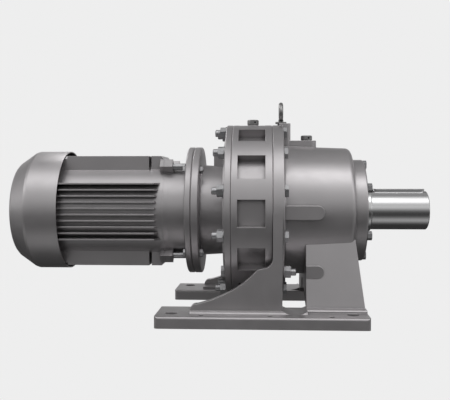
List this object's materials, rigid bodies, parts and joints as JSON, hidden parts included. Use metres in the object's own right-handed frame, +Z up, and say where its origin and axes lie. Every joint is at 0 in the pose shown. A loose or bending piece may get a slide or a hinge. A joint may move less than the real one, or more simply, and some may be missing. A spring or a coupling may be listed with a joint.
{
  "type": "foot-mounted cycloidal gear-motor",
  "caption": "Foot-mounted cycloidal reducer with a flanged electric motor: bolted ring housing with outside pockets, bell-shaped output casing on two legs, keyed output shaft.",
  "frame": {"origin": "centre of the rectangle of four foot holes, on the underside of the feet", "axes": "+X along the output shaft away from the motor, +Z up, +Y to the terminal box side"},
  "size_m": [0.955, 0.48, 0.488],
  "materials": {
    "machine_paint": "smooth satin grey machine enamel",
    "zinc_plate": "bright zinc-plated fasteners",
    "black_steel": "blackened steel",
    "ground_steel": "ground bearing steel",
    "machined_steel": "fine turned steel",
    "black_rubber": "matt nitrile rubber",
    "fan_plastic": "black moulded plastic",
    "laminated_iron": "stacked iron laminations",
    "enamelled_copper": "varnished copper end turns",
    "cast_alloy": "cast aluminium cage",
    "nickel_brass": "nickel-plated brass"
  },
  "bodies": {
    "housing": {"casing": "machine_paint", "ring_gear_housing": "machine_paint", "ring_pins": "ground_steel", "ring_pin_sleeves": "ground_steel", "input_cover": "machine_paint", "tie_bolts": "zinc_plate", "tie_nuts": "zinc_plate", "tie_washers": "zinc_plate", "eye_bolt": "black_steel", "vent_plug": "black_steel", "filler_plug": "black_steel", "drain_plug": "black_steel", "output_cover": "machine_paint", "output_cover_bolts": "zinc_plate", "output_oil_seal": "black_rubber", "rear_bearing_outer_ring": "ground_steel", "front_bearing_outer_ring": "ground_steel", "input_oil_seal": "black_rubber", "input_bearing_outer_ring": "ground_steel", "drive_end_shield": "machine_paint", "shield_bolts": "zinc_plate", "motor_flange_bolts": "zinc_plate", "motor_flange_nuts": "zinc_plate", "motor_frame": "machine_paint", "stator_core": "laminated_iron", "stator_windings": "enamelled_copper", "motor_bearing_outer_rings": "ground_steel", "fan_end_shield": "machine_paint", "fan_cowl": "machine_paint", "cowl_screws": "zinc_plate", "terminal_box": "machine_paint", "terminal_gasket": "black_rubber", "terminal_box_lid": "machine_paint", "terminal_lid_screws": "zinc_plate", "cable_glands": "nickel_brass"},
    "output": {"output_shaft": "machined_steel", "output_pins": "ground_steel", "output_pin_rollers": "ground_steel", "rear_bearing_inner_ring": "ground_steel", "rear_bearing_balls": "ground_steel", "front_bearing_inner_ring": "ground_steel", "front_bearing_balls": "ground_steel", "pilot_bearing_outer_ring": "ground_steel"},
    "rotor": {"input_shaft": "machined_steel", "motor_shaft": "machined_steel", "motor_shaft_key": "ground_steel", "rotor_core": "cast_alloy", "cooling_fan": "fan_plastic", "eccentric_sleeve": "ground_steel", "eccentric_key": "ground_steel", "eccentric_rollers": "ground_steel", "input_bearing_inner_ring": "ground_steel", "input_bearing_balls": "ground_steel", "pilot_bearing_inner_ring": "ground_steel", "pilot_bearing_balls": "ground_steel", "motor_bearing_inner_rings": "ground_steel", "motor_bearing_balls": "ground_steel"},
    "disc_a": {"cycloid_disc_a": "ground_steel"},
    "disc_b": {"cycloid_disc_b": "ground_steel"}
  },
  "joints": [
    {"name": "rotor_spin", "type": "hinge", "parent": "housing", "child": "rotor", "pos_m": [0, 0, 0.235], "axis": [1, 0, 0], "continuous": true},
    {"name": "output_spin", "type": "hinge", "parent": "housing", "child": "output", "pos_m": [0, 0, 0.235], "axis": [1, 0, 0], "continuous": true},
    {"name": "disc_a_spin", "type": "hinge", "parent": "rotor", "child": "disc_a", "pos_m": [0, 0.0045, 0.235], "axis": [1, 0, 0], "continuous": true},
    {"name": "disc_b_spin", "type": "hinge", "parent": "rotor", "child": "disc_b", "pos_m": [0, -0.0045, 0.235], "axis": [1, 0, 0], "continuous": true}
  ],
  "couplings": [
    {"joint": "output_spin", "follows": "rotor_spin", "ratio": -0.058824},
    {"joint": "disc_a_spin", "follows": "rotor_spin", "ratio": -1.0588},
    {"joint": "disc_b_spin", "follows": "rotor_spin", "ratio": -1.0588}
  ]
}
